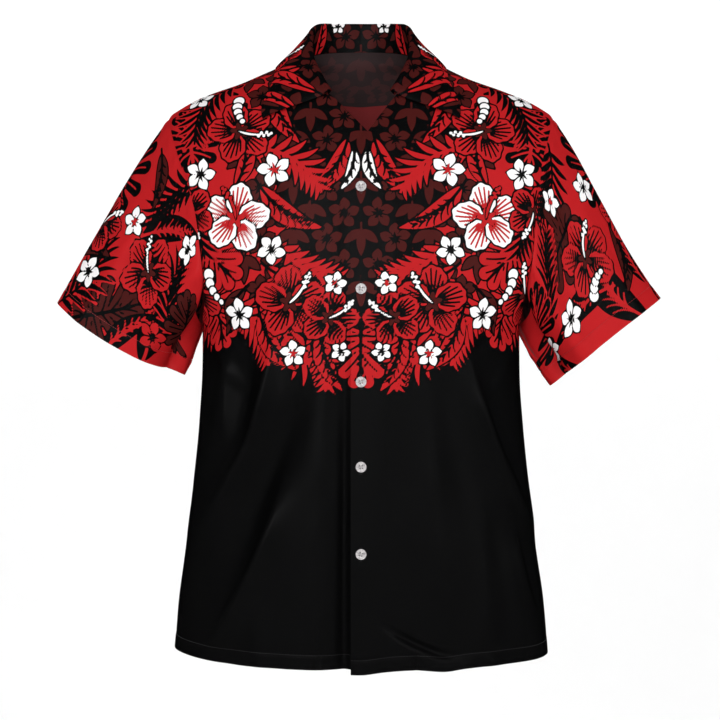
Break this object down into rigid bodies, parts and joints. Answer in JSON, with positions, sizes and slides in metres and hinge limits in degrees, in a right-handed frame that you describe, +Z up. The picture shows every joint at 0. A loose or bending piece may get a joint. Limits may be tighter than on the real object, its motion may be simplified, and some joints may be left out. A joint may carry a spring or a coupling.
{
  "type": "aloha shirt",
  "caption": "Short-sleeved camp-collar shirt in printed satin, buttoned down the front and filled out as it is worn.",
  "frame": {"origin": "midway between the two neck points, at the height where the shoulder seams meet the collar, which is where the shirt hangs on its wearer", "axes": "+Z up, -Y the way the front faces, +X towards the wearer's left"},
  "size_m": [0.743, 0.2639, 0.7913],
  "materials": {
    "body_cloth": "black satin, printed red, white and maroon over the shoulders",
    "sleeve_cloth": "satin, red ground printed black, white and maroon",
    "collar_cloth": "satin, black printed with maroon and red",
    "pearl_button": "pearly"
  },
  "bodies": {
    "root": {"front_left": "body_cloth", "front_right": "body_cloth", "back": "body_cloth", "sleeve_left": "sleeve_cloth", "sleeve_right": "sleeve_cloth", "collar": "collar_cloth", "button_1": "pearl_button", "button_2": "pearl_button", "button_3": "pearl_button", "button_4": "pearl_button", "button_5": "pearl_button"}
  },
  "joints": []
}
